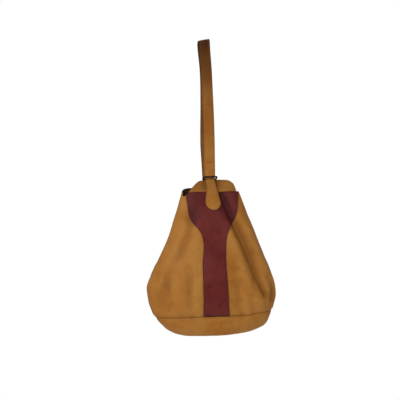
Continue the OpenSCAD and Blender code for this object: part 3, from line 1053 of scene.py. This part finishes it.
def flap_painted_shade(p):
    """Painted shade: darkest beside the strap's end, which stands proud of the flap, and least just above
    the edge of the burgundy panel, left pale as a painted highlight.
    """
    near = bump((np.abs(p[:, 0] - 3) - 14) / 9)
    return np.clip(0.08 + (0.22 + 0.2 * near) * smooth((p[:, 2] + 336) / 5), 0, 1)


flap_u = ladder(90, 1.8, EDGES[:8])
flap_v = ladder(82, 1.1, EDGES[:8])
for label, inner, rows, thickness in (("flap_outer", -0.6, flap_v, 1.2),
                                      ("flap_facing", 0.75, flap_v[4:], 1.0)):
    sheet = leather(label, flap_at_for(inner), flap_u, rows, thickness, groove=3.0,
                    flip=label == "flap_outer")
    # painted shade on the flap's sheets beside the strap end
    paint_shade(sheet, flap_painted_shade)
    blended(sheet, TAN, label)

RING_PIN = np.array([0, -8.5, -311.0])      # on the joint between chape and ring
WIRE_R = 1.95
RING_HALF_W, RING_DEPTH, RING_TILT, RING_CORNER = 15.5, 15.0, math.radians(22), 4.0
CHAPE_W, CHAPE_LEG, CHAPE_T = 20.0, 9.0, 1.2


def chape_at(u, v, off):
    """Small strap loop: down the front of the flap, up round the ring's rear bar and down again."""
    leg, r = CHAPE_LEG, WIRE_R + 0.25
    arc = math.pi * (r + 0.6)
    l = v * (2 * leg + arc)
    a = np.clip((l - leg) / arc, 0, 1) * math.pi
    down = np.where(l < leg, leg - l, np.where(l > leg + arc, l - leg - arc, 0.0))
    pinch = 0.45 * smooth(down / 4)
    y = -(r + off - pinch) * np.cos(a)
    z = (r + off) * np.sin(a) - down
    return np.stack([(u - 0.5) * CHAPE_W, RING_PIN[1] + y, RING_PIN[2] + z], -1)


chape = leather("ring_chape", chape_at, ladder(CHAPE_W, 1.2), ladder(25, 0.5, (0, 0.25, 0.6, 1.1)),
                CHAPE_T)
finish_piece(chape, "flap", TAN, "ring_chape")


def ring_object():
    """Round wire bent to a rectangle with round corners, tilted up to the front."""
    line = []
    half_w, half_d = RING_HALF_W, RING_DEPTH / 2
    for sx, sy, start in ((1, 1, 0), (-1, 1, 90), (-1, -1, 180), (1, -1, 270)):
        cx, cy = sx * (half_w - RING_CORNER), sy * (half_d - RING_CORNER)
        for i in range(9):
            a = math.radians(start + 90 * i / 8)
            line.append((cx + RING_CORNER * math.cos(a), cy + RING_CORNER * math.sin(a)))
    line = np.array(line)
    n, sides = len(line), 20
    points, faces = [], []
    for i in range(n):
        t = line[(i + 1) % n] - line[i - 1]
        t /= np.linalg.norm(t)
        out = np.array([t[1], -t[0]])
        for j in range(sides):
            a = 2 * math.pi * j / sides
            points.append((*(line[i] + out * WIRE_R * math.cos(a)), WIRE_R * math.sin(a)))
    for i in range(n):
        for j in range(sides):
            k, m = (i + 1) % n, (j + 1) % sides
            faces.append((i * sides + j, i * sides + m, k * sides + m, k * sides + j))
    ring = new_object("closure_ring", points, faces)
    # the middle of its rear bar comes to lie on the pin
    tilt = Matrix.Rotation(-RING_TILT, 4, "X")
    ring.data.transform(Matrix.Translation(Vector(RING_PIN) * MM) @ tilt
                        @ Matrix.Translation((0, -half_d * MM, 0)))
    return ring


finish_piece(ring_object(), "ring", METAL, "closure_ring")

# ---------------- patches behind the strap's ends

PATCH_TOP, PATCH_W, PATCH_H, PATCH_T = 342.0, 32.0, 42.0, 1.0

for label, side, depth in (("front_reinforcement", FRONT, 1.4), ("back_reinforcement", BACK, 2.7)):
    def patch_at(u, v, off, side=side, depth=depth):
        s = PATCH_TOP + v * PATCH_H
        return wall(phi_at((u - 0.5) * PATCH_W, s, side), s, off - depth)
    patch = leather(label, patch_at, ladder(PATCH_W, 1.5), ladder(PATCH_H, 1.5), PATCH_T,
                    flip=side == BACK)
    finish_piece(patch, "bag", TAN, label)

# ---------------- the CAD node that stays

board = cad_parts["base_board"]
board.data.materials.clear()
board.data.materials.append(BOARD)

# ---------------- stitching on the wall

def line_uv(first, last, v, count):
    """A line of count points (u, v) from u = first to u = last."""
    return [(u, v) for u in np.linspace(first, last, count)]


MOUTH_SEAM, BASE_SEAM = 3.6, 4.0    # stitch lines' distance from the mouth and from the base seam
BACK_RUN = 295.0
THREAD_R = 0.28

centre_uv = [(1 - CENTRE_SEAM / (2 * float(curve(CENTRE, s))), (s - MOUTH) / (CENTRE_END - MOUTH))
             for s in np.linspace(MOUTH + 4, SEAM - 5, 200)]
sewn("centre_stitches_right", "bag", "burgundy_leather", THREAD_RED, centre_at, centre_uv,
     CENTRE_T - 0.1, radius=THREAD_R)
sewn("centre_stitches_left", "bag", "burgundy_leather", THREAD_RED, centre_at,
     [(1 - u, v) for u, v in centre_uv], CENTRE_T - 0.1, radius=THREAD_R)
for label, first, last in (("left", 0.03, 0.39), ("right", 0.61, 0.97)):
    sewn(f"mouth_stitches_{label}", "bag", "burgundy_leather", THREAD_RED, centre_at,
         line_uv(first, last, MOUTH_SEAM / CENTRE_RUN, 60), CENTRE_T - 0.1, radius=THREAD_R)
for label, first, last in (("left", 0.02, 0.43), ("right", 0.57, 0.98)):
    sewn(f"back_mouth_stitches_{label}", "bag", "tan_leather", THREAD_TAN, back_at,
         line_uv(first, last, MOUTH_SEAM / BACK_RUN, 90), HIDE, radius=THREAD_R)
for half, start in HALVES:
    sewn(f"base_stitches_{half}", "bag", "tan_leather", THREAD_TAN, base_at_for(start)[1],
         line_uv(0.01, 0.99, BASE_SEAM / BASE_RUN, 200), HIDE, radius=THREAD_R)

# ---------------- floor, light and camera

# in metres and watts
AZIMUTH, ROLL = math.radians(-11), math.radians(2.1)
DISTANCE, LENS = 2.2, 86.1
AIM_SIDE, AIM_Z = -0.0212, -0.3572
AMBIENT = 0.38
FLOOR_BELOW, FLOOR_R = 0.30, 0.64


def studio():
    """A round pale floor under the bag, a white surround and three soft lamps."""
    floor_z = cad_box[0][2] - FLOOR_BELOW
    bpy.ops.mesh.primitive_circle_add(vertices=128, radius=FLOOR_R, fill_type="NGON",
                                      location=(0, 0, floor_z))
    floor = bpy.context.object
    floor.name = "floor"
    n = Nodes("pale floor")
    floor.data.materials.append(n.set(Base_Color=(0.9, 0.9, 0.9, 1.0), Roughness=0.8))

    # the surround looks white, but lights the leather less than it looks
    world = bpy.data.worlds.new("studio")
    bpy.context.scene.world = world
    world.use_nodes = True
    tree = world.node_tree
    background = tree.nodes["Background"]
    background.inputs["Color"].default_value = (1, 1, 1, 1)
    path = tree.nodes.new("ShaderNodeLightPath")
    strength = tree.nodes.new("ShaderNodeMapRange")
    strength.inputs["To Min"].default_value = AMBIENT
    strength.inputs["To Max"].default_value = 1.0
    tree.links.new(path.outputs["Is Camera Ray"], strength.inputs["Value"])
    tree.links.new(strength.outputs["Result"], background.inputs["Strength"])

    def lamp(name, place, power, size):
        data = bpy.data.lights.new(name, "AREA")
        data.energy, data.size = power, size
        obj = bpy.data.objects.new(name, data)
        bpy.context.collection.objects.link(obj)
        obj.location = place
        obj.rotation_euler = (Vector((0, 0, -0.4)) - Vector(place)).to_track_quat("-Z", "Y").to_euler()

    lamp("key", (-1.5, -2.0, 0.9), 37, 0.8)
    lamp("fill", (1.8, -1.6, 0.2), 5, 1.4)
    lamp("back", (0.6, 2.0, 0.9), 20, 1.2)


def camera():
    """Camera level with the bag, a little to its left, and rolled as the bag hangs askew."""
    back = Vector((math.sin(AZIMUTH), -math.cos(AZIMUTH), 0))
    right = Vector((math.cos(AZIMUTH), math.sin(AZIMUTH), 0))
    up = Vector((0, 0, 1))
    aim = right * AIM_SIDE + up * AIM_Z
    r = right * math.cos(ROLL) - up * math.sin(ROLL)
    u = up * math.cos(ROLL) + right * math.sin(ROLL)
    data = bpy.data.cameras.new("camera")
    data.lens = LENS
    obj = bpy.data.objects.new("camera", data)
    bpy.context.collection.objects.link(obj)
    turn = Matrix((r, u, back)).transposed().to_4x4()
    obj.matrix_world = Matrix.Translation(aim + back * DISTANCE) @ turn
    bpy.context.scene.camera = obj


studio()
camera()
bpy.context.scene.view_settings.view_transform = "Standard"
